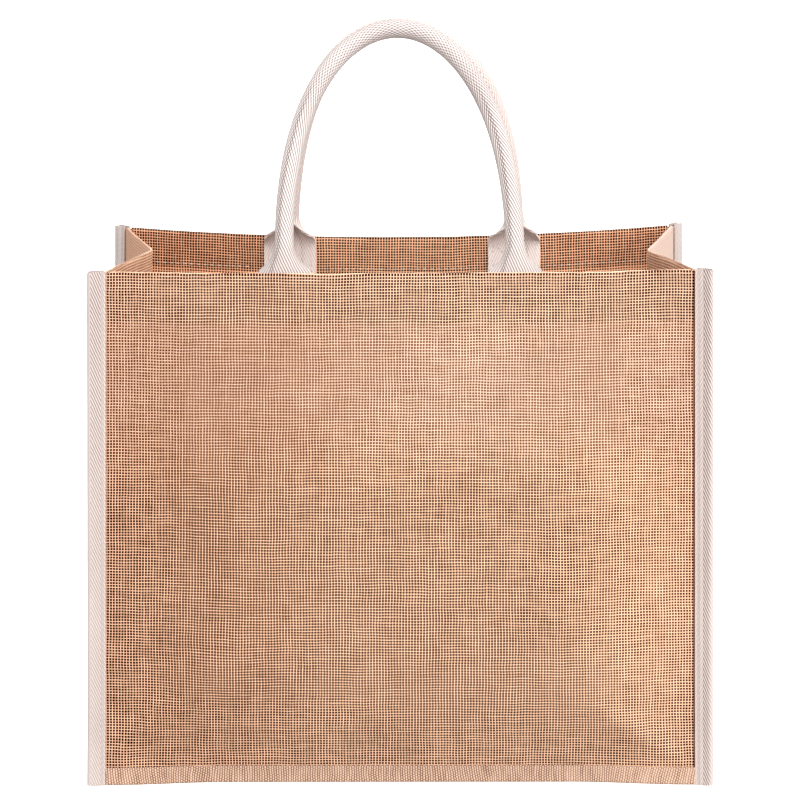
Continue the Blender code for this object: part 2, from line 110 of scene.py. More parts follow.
def ripples(across, height, seed):
    # low, uneven waves, as loosely woven cloth has
    draw = np.random.default_rng(seed)
    total = np.zeros(np.broadcast(across, height).shape)
    lengths = np.geomspace(*burlap["rippleLengths"], burlap["rippleCount"])
    for length in lengths:
        turn = draw.uniform(0, math.pi)
        start = draw.uniform(0, 2 * math.pi)
        way = across * math.cos(turn) + height * math.sin(turn)
        total = total + (length / lengths[0]) ** 0.7 * np.cos(2 * math.pi * way / length + start)
    return total / math.sqrt(len(lengths))


def halfWidth(z):
    return mix(bag["footWidth"], bag["topWidth"], z / bag["height"]) / 2


def halfDepth(z):
    flare = bag["cornerFlare"] * np.clip(1 - z / bag["flareHeight"], 0, 1) ** 2
    return mix(bag["footDepth"], bag["topDepth"], z / bag["height"]) / 2 + flare


def seamPoint(side, face, z, out, over):
    # an upright seam at height z, out along its allowances and over toward the wall
    if face == front:
        turn = mix(bag["frontTurnFoot"], bag["frontTurnTop"], z / bag["height"])
    else:
        turn = bag["backTurn"][side] + 0 * z
    x = side * (halfWidth(z) + np.cos(turn) * out - np.sin(turn) * over)
    y = face * (halfDepth(z) + np.sin(turn) * out + np.cos(turn) * over)
    return np.stack(np.broadcast_arrays(x, y), -1)


def betweenSeams(seams, over, share, z):
    # a place on the flat between two seams, which lie at shares -1 and 1
    start, end = (seamPoint(*seam, z, 0, over) for seam in seams)
    return mix(start, end, ((share + 1) / 2)[..., None])


def tilted(points):
    # the right-hand seams stand a little higher than the left-hand ones
    out = np.array(points, dtype=float)
    share = (out[..., 2] / bag["height"]) ** 2
    out[..., 2] += bag["tilt"] / bag["topWidth"] * out[..., 0] * share
    return out


def runOf(points):
    # how far along the points each one lies
    steps = np.linalg.norm(np.diff(points, axis=0), axis=-1)
    return np.concatenate([[0], np.cumsum(steps)])


# Making sheets

def surfaceNormals(points, cells):
    diagonal1 = points[1:, 1:] - points[:-1, :-1]
    diagonal2 = points[:-1, 1:] - points[1:, :-1]
    normal = np.cross(diagonal1, diagonal2)
    length = np.linalg.norm(normal, axis=-1, keepdims=True)
    normal = normal / np.maximum(length, 1e-12) * cells[..., None]
    total = np.zeros_like(points)
    count = np.zeros(points.shape[:2])
    for rows in (slice(0, -1), slice(1, None)):
        for columns in (slice(0, -1), slice(1, None)):
            total[rows, columns] += normal
            count[rows, columns] += cells
    mean = total / np.maximum(count, 1)[..., None]
    size = np.sum(mean * mean, axis=-1, keepdims=True)
    return mean / np.maximum(size, burlap["creaseLimit"])


def placeMesh(name, mesh, material):
    # faces outward, smooth, and carried by the frame
    shell = bmesh.new()
    shell.from_mesh(mesh)
    bmesh.ops.recalc_face_normals(shell, faces=shell.faces[:])
    shell.to_mesh(mesh)
    shell.free()
    mesh.shade_smooth()
    mesh.materials.append(material)
    piece = bpy.data.objects.new(name, mesh)
    bpy.context.collection.objects.link(piece)
    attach(piece, "root")
    return piece


def makeSheet(name, points, thick, across, along, material, cells=None):
    # a closed sheet about a grid of mid-surface points. across and along are the
    # cloth's own coordinates in metres, for the weave
    rows, columns = points.shape[:2]
    if cells is None:
        cells = np.ones((rows - 1, columns - 1), bool)
    across = np.broadcast_to(across, (rows, columns))
    along = np.broadcast_to(along, (rows, columns))
    offset = surfaceNormals(points, cells) * thick / 2
    used = np.zeros((rows, columns), bool)
    for i in (0, 1):
        for j in (0, 1):
            used[i:rows - 1 + i, j:columns - 1 + j] |= cells
    number = np.full((rows, columns), -1)
    number[used] = np.arange(used.sum())
    half = int(used.sum())
    verts = np.concatenate([(points - offset)[used], (points + offset)[used]])
    cloth = np.stack([across, along], -1)[used]
    low, high = cloth.min(0), cloth.max(0)
    edgeRoom = 0.012  # of the baking map, for the sheet's edge faces
    bake = edgeRoom + (cloth - low) / (high - low) * (1 - 2 * edgeRoom)
    maps = np.concatenate([cloth, bake], -1)
    edgeStep = np.array([thick, thick, edgeRoom, edgeRoom])

    faces = []
    uvs = []
    for i, j in zip(*np.nonzero(cells)):
        corner = [number[i, j], number[i, j + 1], number[i + 1, j + 1], number[i + 1, j]]
        faces.append(corner)
        faces.append([k + half for k in corner[::-1]])
        uvs.extend(maps[k] for k in corner + corner[::-1])

    padded = np.pad(cells, 1)
    sides = (((0, -1), (0, 0), (1, 0)), ((0, 1), (1, 1), (0, 1)),
             ((-1, 0), (0, 1), (0, 0)), ((1, 0), (1, 0), (1, 1)))
    for i, j in zip(*np.nonzero(cells)):
        for (down, aside), start, end in sides:
            if padded[i + 1 + down, j + 1 + aside]:
                continue
            a = number[i + start[0], j + start[1]]
            b = number[i + end[0], j + end[1]]
            faces.append([b, a, a + half, b + half])
            out = np.array([aside, down, aside, down]) * edgeStep
            uvs.extend([maps[b], maps[a], maps[a] + out, maps[b] + out])

    mesh = bpy.data.meshes.new(name)
    mesh.from_pydata(verts.tolist(), [], [[int(k) for k in face] for face in faces])
    uvs = np.array(uvs, np.float32)
    for mapName, values in (("cloth", uvs[:, :2]), ("OFBake", uvs[:, 2:])):
        layer = mesh.uv_layers.new(name=mapName)
        layer.data.foreach_set("uv", values.ravel())
    mesh.uv_layers["cloth"].active_render = True
    piece = placeMesh(name, mesh, material)
    mesh.set_sharp_from_angle(angle=burlap["sharp"])
    return piece


# Materials

class Wire:
    # a node's output that takes part in plain arithmetic
    def __init__(self, tree, socket):
        self.tree = tree
        self.socket = socket

    def node(self, operation, *others):
        made = addNode(self.tree, "ShaderNodeMath", self, *others)
        made.operation = operation
        return Wire(self.tree, made.outputs[0])

    __add__ = partialmethod(node, "ADD")
    __sub__ = partialmethod(node, "SUBTRACT")
    __mul__ = partialmethod(node, "MULTIPLY")
    __truediv__ = partialmethod(node, "DIVIDE")
    least = partialmethod(node, "MINIMUM")
    most = partialmethod(node, "MAXIMUM")
    whole = partialmethod(node, "FLOOR")
    part = partialmethod(node, "FRACT")
    size = partialmethod(node, "ABSOLUTE")
    sine = partialmethod(node, "SINE")
    root = partialmethod(node, "SQRT")
    power = partialmethod(node, "POWER")

    def share(self):
        # held between 0 and 1
        return self.most(0).least(1)

    def rest(self):
        # what it leaves of 1
        return self * -1 + 1

    def rise(self, low, high, bottom=0.0, top=1.0):
        # a smooth step from bottom at low to top at high
        made = addNode(self.tree, "ShaderNodeMapRange", self, low, high, bottom, top)
        made.interpolation_type = "SMOOTHSTEP"
        return Wire(self.tree, made.outputs[0])


def addNode(tree, kind, *values):
    # values go into its first sockets
    node = tree.nodes.new(kind)
    for slot, value in zip(node.inputs, values):
        plug(tree, value, slot)
    return node


def plug(tree, value, slot):
    if isinstance(value, Wire):
        tree.links.new(value.socket, slot)
    else:
        slot.default_value = value


def setInputs(shader, values):
    for name, value in values.items():
        shader.inputs[name].default_value = value


def newMaterial(name, roughness, sheen=0.0, gloss=0.25):
    material = bpy.data.materials.new(name)
    material.use_nodes = True
    tree = material.node_tree
    shader = tree.nodes["Principled BSDF"]
    setInputs(shader, {"Roughness": roughness, "Sheen Weight": sheen, "Specular IOR Level": gloss})
    return material, tree, shader


def clothMap(tree):
    # the sheet's own coordinates, in metres
    mapNode = tree.nodes.new("ShaderNodeUVMap")
    mapNode.uv_map = "cloth"
    split = tree.nodes.new("ShaderNodeSeparateXYZ")
    tree.links.new(mapNode.outputs[0], split.inputs[0])
    return Wire(tree, split.outputs[0]), Wire(tree, split.outputs[1])


def noise(x, y, scale, detail=1.0, z=0.0):
    # scale is in each metre of x and y, and another z gives another pattern
    place = addNode(x.tree, "ShaderNodeCombineXYZ", x, y, z)
    node = x.tree.nodes.new("ShaderNodeTexNoise")
    setInputs(node, {"Scale": scale, "Detail": detail})
    x.tree.links.new(place.outputs[0], node.inputs["Vector"])
    return Wire(x.tree, node.outputs[0])


def blend(first, second, share):
    return first + (second - first) * share


def blendColours(share, first, second, mode="MIX"):
    node = addNode(share.tree, "ShaderNodeMix", share)
    node.data_type = "RGBA"
    node.blend_type = mode
    for slot, value in ((node.inputs[6], first), (node.inputs[7], second)):
        if isinstance(value, tuple):
            slot.default_value = (*value, 1)
        else:
            share.tree.links.new(value, slot)
    return node.outputs[2]


def finishShader(shader, colour, height, depth):
    # its colour, and a relief of this depth
    tree = height.tree
    bump = tree.nodes.new("ShaderNodeBump")
    setInputs(bump, {"Strength": 1.0, "Distance": depth})
    tree.links.new(colour, shader.inputs["Base Color"])
    tree.links.new(height.socket, bump.inputs["Height"])
    tree.links.new(bump.outputs[0], shader.inputs["Normal"])


juteLook = {
    "pitch": 0.00194,
    "width": 0.49,  # a yarn's share of the pitch
    "widthSpread": 0.34,
    "thinning": 0.19,  # how much thinner the yarns of looser cloth are
    "wander": 1.2,  # how far the yarns stray, in pitches
    "fineWander": 0.40,
    "light": (0.866, 0.612, 0.441),
    "shade": (0.260, 0.054, 0.007),
    # painted shade: the holes between the yarns are painted dark for the shadow seen through them,
    # darkest where the weave is most open and at the hem, where the cloth lies double
    "openHoleShade": (0.003, 0.0003, 0.0001),
    "closeHoleShade": (0.040, 0.009, 0.002),
    "ownTint": 0.60,  # how much yarns differ from each other
    "fibreTint": 0.18,
    "broadTint": 0.30,
    "hemStart": 0.3168,
    "tightFrom": 0.252,  # below the hem the cloth is closer woven, down to about here
    "tightRight": (0.080, 0.170),  # and toward the right-hand side
    "tightFoot": (0.020, 0.090),  # but not at the foot
    "edge": 0.1957,  # where the tape's shadow lies, across from the middle
    "edgeShades": (0.08, 0.95),  # its depth on the left and on the right
    "tightTint": (0.86, 0.93, 1.00),  # of the closer cloth below the hem
    "lowTint": (1.05, 1.00, 0.970),  # of the single, looser cloth further down
    "insideLightTint": (1.38, 1.16, 1.02),  # painted light: the tint of the layer inside the hem, for the light that reaches it inside the bag
    "turnedInLoose": 0.25,
    "turnedInEdge": 0.3760,  # past here it is closer woven and paler, under its stitches
    "insideLitMiddle": 0.35,  # painted light: how much paler that layer is in the middle, where more light falls into the bag
    "side": 0.22,  # painted shade: how much darker the left-hand side is, away from the lamps
    "rightShade": 0.05,  # painted shade toward the right-hand side
    "foot": 0.05,  # painted light: how much paler the foot is
    "paintedLightBack": 0.0,  # painted light: how far the weave fades into one flat, lit colour toward the back, outside the hem
    "relief": 0.00016,
}


def makeJute(name, look):
    material, tree, shader = newMaterial(name, 1.0, 0.0, 0.0)
    u, v = clothMap(tree)
    pitch = look["pitch"]
    # a counts the yarns across and b those along, and both wander out of line
    a = u / pitch + (noise(u, v, 16, 2) - 0.5) * look["wander"]
    a += (noise(u * 0.35, v, 90, 1, 3.0) - 0.5) * look["fineWander"]
    b = v / pitch + (noise(u, v, 16, 2, 7.0) - 0.5) * look["wander"]
    b += (noise(u, v * 0.35, 90, 1, 11.0) - 0.5) * look["fineWander"]
    # each has its own thickness and tint, which change slowly along it
    warpSelf = noise(a.whole() * 3.71, v * 55, 1, 2)
    weftSelf = noise(u * 55, b.whole() * 3.71, 1, 2, 19.0)
    patch = noise(u, v, 26, 2, 31.0)
    hem = v.rise(look["hemStart"] - 0.0006, look["hemStart"] + 0.0006)
    low = v.rise(look["tightFrom"] + 0.02, look["tightFrom"] - 0.06, 0.2, 1.12)
    farRight = u.rise(*look["tightRight"]) * v.rise(*look["tightFoot"], 0.25, 1.0)
    within = v.rise(bag["height"] + 0.0010, bag["height"] + 0.0018)
    selvage = v.rise(look["turnedInEdge"], look["turnedInEdge"] + 0.0012)
    loose = (low * (farRight * -0.50 + 1)).most(hem) + (patch - 0.5) * 0.5
    loose = loose + within * look["turnedInLoose"] - selvage * 0.9
    openness = loose * look["thinning"] - 0.06
    # how far off its yarn's middle a place is, and how high the yarn lies there
    crossing = (a * math.pi).sine() * (b * math.pi).sine()
    yarns = []
    for place, own, wave in ((a, warpSelf, 0.35), (b, weftSelf, -0.35)):
        width = (own - 0.5) * look["widthSpread"] - openness + look["width"]
        off = (place.part() - 0.5).size() * 2 / width
        cover = off.rise(1.04, 0.96)
        yarns.append((off, cover, ((off * off).rest().most(0).root() + crossing * wave) * cover))
    (warpOff, warpCover, warpTop), (weftOff, weftCover, weftTop) = yarns
    top = warpTop.most(weftTop)
    cover = warpCover.most(weftCover)
    warpShows = (warpTop - weftTop).rise(-0.05, 0.05)
    own = blend(weftSelf, warpSelf, warpShows)
    fibre = noise(u * 3200, v * 380, 1, 1, 41.0)
    fibreFlat = noise(u * 380, v * 3200, 1, 1, 47.0)
    fibres = blend(fibreFlat, fibre, warpShows)
    broad = noise(u, v, 7, 2, 53.0)
    off = blend(weftOff, warpOff, warpShows)
    # painted light and shade on each yarn: paler along its crown and where the yarns cross, darker
    # at its sides; each yarn's own tint, its fibres and a broad tone are mixed in
    light = off.rise(0.90, 0.24) + crossing.size() * 0.12 + (own - 0.5) * look["ownTint"]
    light = light + (fibres - 0.5) * look["fibreTint"] + (broad - 0.5) * look["broadTint"] + 0.04
    # painted light at the foot and in the middle of the layer inside the hem; painted shade toward
    # the right-hand and left-hand sides
    light += v.rise(0.14, 0.01) * look["foot"]
    light += within * u.size().rise(0.11, 0.03) * look["insideLitMiddle"]
    light -= u.rise(0.05, 0.15) * look["rightShade"]
    light = light - u.rise(0.04, -0.20) * look["side"] + low.most(hem) * 0.16 - 0.16
    # painted shadow of the tapes along both edges, on the yarns and in the holes
    for shade, way in zip(look["edgeShades"], (left, right)):
        tapeShadow = (u * way).rise(look["edge"] - 0.0022, look["edge"] - 0.0002)
        light -= tapeShadow * shade
        cover -= tapeShadow * shade * 0.6
    yarn = blendColours(light.share(), look["shade"], look["light"])
    holeShade = blendColours(loose.share(), look["closeHoleShade"], look["openHoleShade"])
    cloth = blendColours(cover.most(0), holeShade, yarn)
    if look["paintedLightBack"]:
        # painted light: the back half outside the hem is washed to one flat colour with the light
        # it gets
        outerHem = v.rise(0.302, 0.312) * v.rise(bag["height"] + 0.0014, bag["height"] + 0.0006)
        paintedLightShare = u.rise(0.0, 0.012) * outerHem * look["paintedLightBack"]
        cloth = blendColours(paintedLightShare, cloth, look["paintedLightColour"])
    tight = low.most(hem).rest().most(0)
    cloth = blendColours(tight, cloth, look["tightTint"], "MULTIPLY")
    cloth = blendColours((low - hem).share(), cloth, look["lowTint"], "MULTIPLY")
    cloth = blendColours(within, cloth, look["insideLightTint"], "MULTIPLY")
    finishShader(shader, cloth, top + (fibres - 0.5) * 0.12, look["relief"])
    return material


def makeHerringbone(name, look):
    # webbing and tape: ribs slant one way, and past a spine the other way too
    material, tree, shader = newMaterial(name, 0.88, 0.10)
    w, v = clothMap(tree)
    isTape = "groove" in look
    if isTape:
        w = w.size() * -1  # both faces of a folded tape are alike
    w = w + (noise(w, v, 60) - 0.5) * 0.0006
    slope = look["lean"] * look["steep"]
    wobble = (noise(w, v, 170, 1, 5.0) - 0.5) * 0.3
    ribs = []
    for slanting in (v - w * slope, v + w * slope):
        rib = ((slanting / look["pitch"] + wobble) * (2 * math.pi)).sine() * 0.5 + 0.5
        ribs.append(rib.power(1.6))
    gapA, gapB = ribs
    if isTape:
        across = w * -look["lean"]
        shareA = across.rise(look["spine"] - 0.0008, look["spine"] + 0.0002)
        shareB = across.rise(look["spine"] + 0.0006, look["spine"] - 0.0004)
    else:
        # along a handle the spine crosses over at the crest, where both slants show
        along = v - look["loop"] / 2
        fromCrest = along.size()
        across = w * along.rise(-0.05, 0.05, -1.0, 1.0)
        crest = fromCrest.rise(0.10, 0.05)
        spine = fromCrest.rise(0.10, 0.18, 0.0010, 0.0026)
        spine += fromCrest.rise(0.186, 0.206, 0.0, 0.0050)
        shareB = (across + spine).rise(0.0012, -0.0012).most(crest)
        shareA = (across + spine).rise(-0.0036, -0.0004).most(crest)
    shareB *= look["second"]
    dark = gapA * shareA * 0.60 + gapB * shareB * 0.60 + gapA * gapB * shareA * shareB * 0.5
    dark *= look["strength"]
    if isTape:
        fade = v.rise(0.10, 0.30, look["fades"], 1.0)
        dark = dark * fade * w.size().rise(0.0006, 0.0042, 0.3, 1.0)
    else:
        # paler where both slants cross, and on the tabs, whose own colour and fainter ribs are
        # painted light on the back handle
        tabs = fromCrest.rise(0.182, 0.200)
        dark = dark * (crest * -0.55 + 1) * (tabs * (look["tabStrength"] - 1) + 1)
    speck = noise(w, v, 1500, 1, 9.0)
    broad = noise(w, v, 14, 2, 13.0)
    dark = dark + (speck - 0.5) * 0.25 + (broad - 0.5) * 0.30
    light = look["light"]
    if isTape:
        near = w.size() * -1 + look["half"]
        wide = look["grooveWide"]
        groove = (near - look["groove"]).size().rise(wide, wide * 0.45)
        edge = near.rise(look["groove"], look["groove"] - 0.0012)
        # the stitched groove is painted grey: partly the smooth stitched band, partly painted
        # shade in its recess
        dark = blend(dark, dark * 0.15 + 0.42, groove)
        selvage = v.rise(0.10, 0.28, look["selvageLow"], look["selvage"])
        dark = blend(dark, dark * 0.5 + selvage, edge * groove.rest())
        dark += w.size().rise(0.0034, 0.0010) * look["foldShade"]
    else:
        light = blendColours(tabs, look["light"], look["tabLitColour"])
    colour = blendColours(dark.share(), light, look["shade"])
    finishShader(shader, colour, dark.rest(), look["relief"])
    return material


stripLook = {
    "pitch": 0.00165,
    "light": (0.640, 0.450, 0.345),
    "shade": (0.150, 0.070, 0.038),
    "tick": 0.0018,  # length of the small bars along a rib
    "relief": 0.00030,
}


def makeRibs(name, look):
    # a jute strip on the bias: close slanting ribs
    material, tree, shader = newMaterial(name, 1.0, 0.0, 0.0)
    u, v = clothMap(tree)
    slant = (noise(u, v * 0.2, 9) - 0.5) * 1.6
    phase = (u + v * slant) / look["pitch"] + (noise(u, v, 120, 1, 3.0) - 0.5) * 0.9
    own = noise(phase.whole() * 2.9, v * 60, 1, 1, 5.0)
    rib = (phase * math.pi).sine().size()
    tick = ((v / look["tick"] + phase.whole() * 0.5) * math.pi).sine().size()
    top = rib.power(0.7) * (tick * 0.6 + 0.4)
    fibres = noise(u * 2600, v * 500, 1, 1, 17.0)
    light = top * 1.70 + (own - 0.5) * 1.1 + (fibres - 0.5) * 0.3 - 0.42
    # painted light: the strip is paler toward its right-hand end
    light += u.rise(0.06, 0.19) * 0.20
    colour = blendColours(light.share(), look["shade"], look["light"])
    finishShader(shader, colour, top + (fibres - 0.5) * 0.25, look["relief"])
    return material


def makeThread(name, light, shade):
    material, tree, shader = newMaterial(name, 0.80, 0.10)
    place = tree.nodes.new("ShaderNodeTexCoord")
    speck = tree.nodes.new("ShaderNodeTexNoise")
    speck.inputs["Scale"].default_value = 1400
    tree.links.new(place.outputs["Object"], speck.inputs["Vector"])
    share = Wire(tree, speck.outputs[0]).rise(0.35, 0.65)
    finishShader(shader, blendColours(share, shade, light), share, 0.0001)
    return material


jute = makeJute("jutePlainWeave", juteLook)
stripRibs = makeRibs("juteStripRibs", stripLook)
print("jute ready")


# Front and back walls

frontShape = {
    "crown": 0.0110,
    "topShare": 0.45,
    "fullHeight": 0.110,
    "folds": (  # place across, height, half length, half breadth, turn, out
        (-0.170, 0.040, 0.045, 0.0080, 44, 0.0022),
        (0.158, 0.037, 0.050, 0.0085, -34, 0.0024),
        (-0.118, 0.088, 0.040, 0.0120, 30, 0.0014),
        (0.168, 0.036, 0.014, 0.0045, 82, -0.0012),
        (-0.145, 0.165, 0.105, 0.0250, 78, -0.0022),
        (-0.086, 0.230, 0.070, 0.0200, 70, 0.0012),
        (0.120, 0.190, 0.110, 0.0260, 97, 0.0016),
        (0.060, 0.125, 0.080, 0.0300, 12, 0.0012),
        (-0.098, 0.327, 0.018, 0.0080, 80, -0.0012),
        (0.022, 0.329, 0.015, 0.0070, 95, -0.0009),
        (0.054, 0.327, 0.016, 0.0075, 75, -0.0012),
        (0.000, 0.311, 0.190, 0.0060, 0, -0.0006),
    ),
    "seed": 4,
}

backShape = {
    "crown": 0.0085,
    "crownFades": (0.10, 0.24),
    "drawnIn": 0.0319,
    "drawnInHeights": (0.03, 0.392),
    "folds": (
        (-0.165, 0.040, 0.048, 0.0085, 40, 0.0022),
        (0.168, 0.042, 0.045, 0.0080, -43, 0.0022),
        (0.130, 0.170, 0.100, 0.0260, 100, -0.0022),
        (-0.110, 0.200, 0.100, 0.0240, 82, 0.0016),
        (0.020, 0.120, 0.090, 0.0320, -8, 0.0012),
        (0.092, 0.325, 0.017, 0.0080, 96, -0.0011),
        (-0.060, 0.327, 0.016, 0.0075, 82, -0.0010),
        (0.000, 0.311, 0.190, 0.0060, 0, -0.0006),
    ),
    "seed": 9,
}

wallShape = {
    "crownRise": 0.085,
    "crownReach": 0.50,
    "crownPower": 0.8,
    "setBack": 0.0062,
    "setBackHeight": 0.050,
    "setBackShares": (0.02, 0.42),
    "topSag": {front: 0.0010, back: 0.0028},
    "sagStart": 0.250,
    "seamFade": (0.005, 0.06),
    "footFade": (0.010, 0.022),
    "cut": (0.4127, 0.3835),
}


def wallProfile(face, u, z):
    shape = wallShape
    edge = 1 - np.abs(u)
    crown = ease(z, 0.0, shape["crownRise"])
    crown = crown * ease(edge, 0.0, shape["crownReach"]) ** shape["crownPower"]
    low = 1 - ease(z, 0.0, shape["setBackHeight"])
    setBack = shape["setBack"] * ease(edge, *shape["setBackShares"]) * low
    x = u * halfWidth(z)
    fade = ease(edge, *shape["seamFade"]) * ease(z, *shape["footFade"])
    if face == front:
        own = frontShape
        level = mix(1.0, own["topShare"], ease(z, own["fullHeight"], bag["height"]))
        drawnIn = 0
    else:
        own = backShape
        level = 1 - ease(z, *own["crownFades"])
        drawnIn = own["drawnIn"] * ease(z, *own["drawnInHeights"]) * (1 - u * u)
    folds = foldHeights(own["folds"], x, z) + burlap["ripple"] * ripples(x, z, own["seed"])
    return own["crown"] * crown * level - setBack - drawnIn + folds * fade


def wallPoint(face, u, z):
    flat = betweenSeams(((left, face), (right, face)), seamOver, u, z)
    y = flat[..., 1] + face * wallProfile(face, u, z)
    sag = wallShape["topSag"][face] * (1 - u * u) * ease(z, wallShape["sagStart"], bag["height"])
    return np.stack([flat[..., 0], y, z - sag], -1)


def sharesFor(width):
    # columns from seam to seam, with one just where a hem's turned-in layer may start
    inner = 1 - burlap["hemClear"] / (width / 2)
    count = int(round(width * inner / burlap["cell"] / 2)) * 2
    side = np.array(bag["steps"][:0:-1])
    return np.concatenate([
        [-1], -1 + (1 - inner) * side, np.linspace(-inner, inner, count + 1),
        1 - (1 - inner) * side[::-1], [1]])


def seamEdge(side, face, rise, over):
    # an edge of a cloth, from the end of its allowance to the seam
    edge = []
    for step in bag["steps"]:
        flat = seamPoint(side, face, rise, bag["allowance"] * step, over)
        edge.append(np.concatenate([flat, rise[:, None]], -1))
    return np.stack(edge, 1)


def hemmedSheet(name, surface, seams, over, shares, halfSize, material, inside):
    # a wall or gusset: one cloth from the foot up, over its top edge and down inside.
    # inside is the side that its hem lies on, 1 or -1
    radius = burlap["hemRound"]
    top = bag["height"] - radius
    rise = np.linspace(bag["wallFoot"], top, int(round(bag["height"] / burlap["cell"])) + 1)
    before, after = [seamEdge(*seam, rise, over) for seam in seams]
    points = np.concatenate([before, surface(*np.meshgrid(shares, rise)), after[:, ::-1]], 1)
    inward = surfaceNormals(points, np.ones((len(rise) - 1, points.shape[1] - 1), bool))
    inward /= np.linalg.norm(inward, axis=-1, keepdims=True)
    inward *= inside
    rows = [points]
    along = [rise]
    for turn in np.linspace(0, math.pi, burlap["hemTurns"] + 1)[1:]:
        lift = np.array([0, 0, radius * math.sin(turn)])
        rows.append((points[-1] + inward[-1] * radius * (1 - math.cos(turn)) + lift)[None])
        along.append([top + radius * turn])
    fallSteps = int(burlap["hemDepth"] / burlap["cell"])
    for drop in np.linspace(0, burlap["hemDepth"] - radius, fallSteps + 1)[1:]:
        level = top - drop
        at = np.searchsorted(rise, level) - 1
        share = (level - rise[at]) / (rise[at + 1] - rise[at])
        way = mix(inward[at], inward[at + 1], share)
        rows.append((mix(points[at], points[at + 1], share) + way * 2 * radius)[None])
        along.append([top + radius * math.pi + drop])
    grid = np.concatenate(rows)
    along = np.concatenate(along)
    fromSeam = np.pad((1 - np.abs(shares)) * halfSize, len(bag["steps"]))
    inner = fromSeam >= burlap["hemClear"] - 1e-6
    cells = np.ones((grid.shape[0] - 1, grid.shape[1] - 1), bool)
    cells[len(rise) - 1:] = (inner[1:] & inner[:-1])[None]
    out = halfSize + bag["allowance"] * np.array(bag["steps"])
    across = np.concatenate([-out, shares * halfSize, out[::-1]])
    return makeSheet(
        name, tilted(grid), burlap["thick"], across[None, :], along[:, None], material, cells)


def makeWall(face):
    name = faceNames[face]
    piece = hemmedSheet(
        f"wall{name}", partial(wallPoint, face), ((left, face), (right, face)), seamOver,
        sharesFor(bag["topWidth"]), halfWidth(bag["middle"]), jute, -face)
    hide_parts(f"{name.lower()}_panel")
    return piece


# Gussets

gussetLook = dict(
    juteLook, width=0.70, shade=(0.300, 0.100, 0.035), openHoleShade=(0.090, 0.026, 0.008),
    edge=0.5, side=0.0, rightShade=0.0, foot=0.0,
    insideLightTint=(1.02, 0.92, 0.84), turnedInLoose=0.0, insideLitMiddle=0.0)
# The back halves outside the hem take one flat colour with their light, paler on the right where
# the lamps fall and darker on the left: painted light
gussetLooks = {
    left: dict(gussetLook, light=(0.900, 0.650, 0.490),
               paintedLightBack=0.60, paintedLightColour=(0.530, 0.310, 0.210)),
    right: dict(gussetLook, light=(0.875, 0.630, 0.490),
                paintedLightBack=0.88, paintedLightColour=(0.590, 0.455, 0.395)),
}

gussetShape = {
    "foldAtTop": 0.0236,
    "apex": 0.095,
    "softness": 0.0015,
    "creaseRound": 0.03,
    "crown": 0.0008,
    "droop": {left: 0.0010, right: 0.0026},  # its fold hangs this far below its seams
    "droopStart": 0.22,
    "seamFade": (0.02, 0.15),
    "footFade": (0.015, 0.050),
    "folds": {
        left: (
            (-0.055, 0.200, 0.080, 0.0160, 84, 0.0012),
            (0.050, 0.235, 0.070, 0.0170, 96, -0.0012),
            (-0.030, 0.120, 0.040, 0.0110, 38, -0.0010),
        ),
        right: (
            (-0.052, 0.225, 0.075, 0.0160, 97, -0.0012),
            (0.056, 0.190, 0.080, 0.0170, 85, 0.0012),
            (0.034, 0.115, 0.042, 0.0110, -36, -0.0010),
        ),
    },
    "seed": 15,
    "cut": (0.2140, 0.3835),
}


def gussetFold(v, z):
    shape = gussetShape
    bend = shape["creaseRound"]
    away = (np.sqrt(v * v + bend**2) - bend) / (math.sqrt(1 + bend**2) - bend)
    lean = shape["foldAtTop"] * z / bag["height"]
    apex = shape["foldAtTop"] * shape["apex"] / bag["height"]
    halves = np.maximum(lean, apex) * (1 - away)
    soft = np.minimum(shape["softness"], lean / 2) + 1e-9
    share = np.clip(0.5 + 0.5 * (halves - lean) / soft, 0, 1)
    folded = mix(halves, lean, share) - soft * share * (1 - share)
    return folded - shape["crown"] * 4 * away * (1 - away) * z / bag["height"]


def gussetPoint(side, v, z):
    shape = gussetShape
    flat = betweenSeams(((side, front), (side, back)), -seamOver, v, z)
    away = 1 - np.abs(v)
    folds = foldHeights(shape["folds"][side], flat[..., 1], z)
    folds = folds + burlap["ripple"] * 0.8 * ripples(flat[..., 1], z, shape["seed"] + side)
    folds = folds * ease(away, *shape["seamFade"]) * ease(z, *shape["footFade"])
    x = flat[..., 0] - side * (gussetFold(v, z) - folds)
    droop = shape["droop"][side] * away * ease(z, shape["droopStart"], bag["height"])
    return np.stack([x, flat[..., 1], z - droop], -1)


def makeGusset(side):
    name = sideNames[side]
    material = makeJute(f"juteGusset{name}", gussetLooks[side])
    piece = hemmedSheet(
        f"gusset{name}", partial(gussetPoint, side), ((side, front), (side, back)), -seamOver,
        sharesFor(bag["topDepth"]), halfDepth(bag["middle"]), material, side)
    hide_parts(f"gusset_{name.lower()}")
    return piece


# Jute strips folded over the base seams

strip = {
    "thick": 0.0011,
    "height": 0.0120,
    "clear": 0.00045,
    "round": 0.0010,
    "lip": 0.00025,  # its outer top edge turns in by this much
    "lipHeight": 0.0016,
    "sideRows": 7,
    "bendRows": 6,
    "cuts": {front: 0.0002, back: 0.0028},  # how far it stops short of the bag's corners
    "sideCut": 0.0036,
    "innerCut": 0.0090,
    "long": (0.396, 0.0256),
    "short": (0.189, 0.0256),
    "longColumns": 141,
    "shortColumns": 67,
}


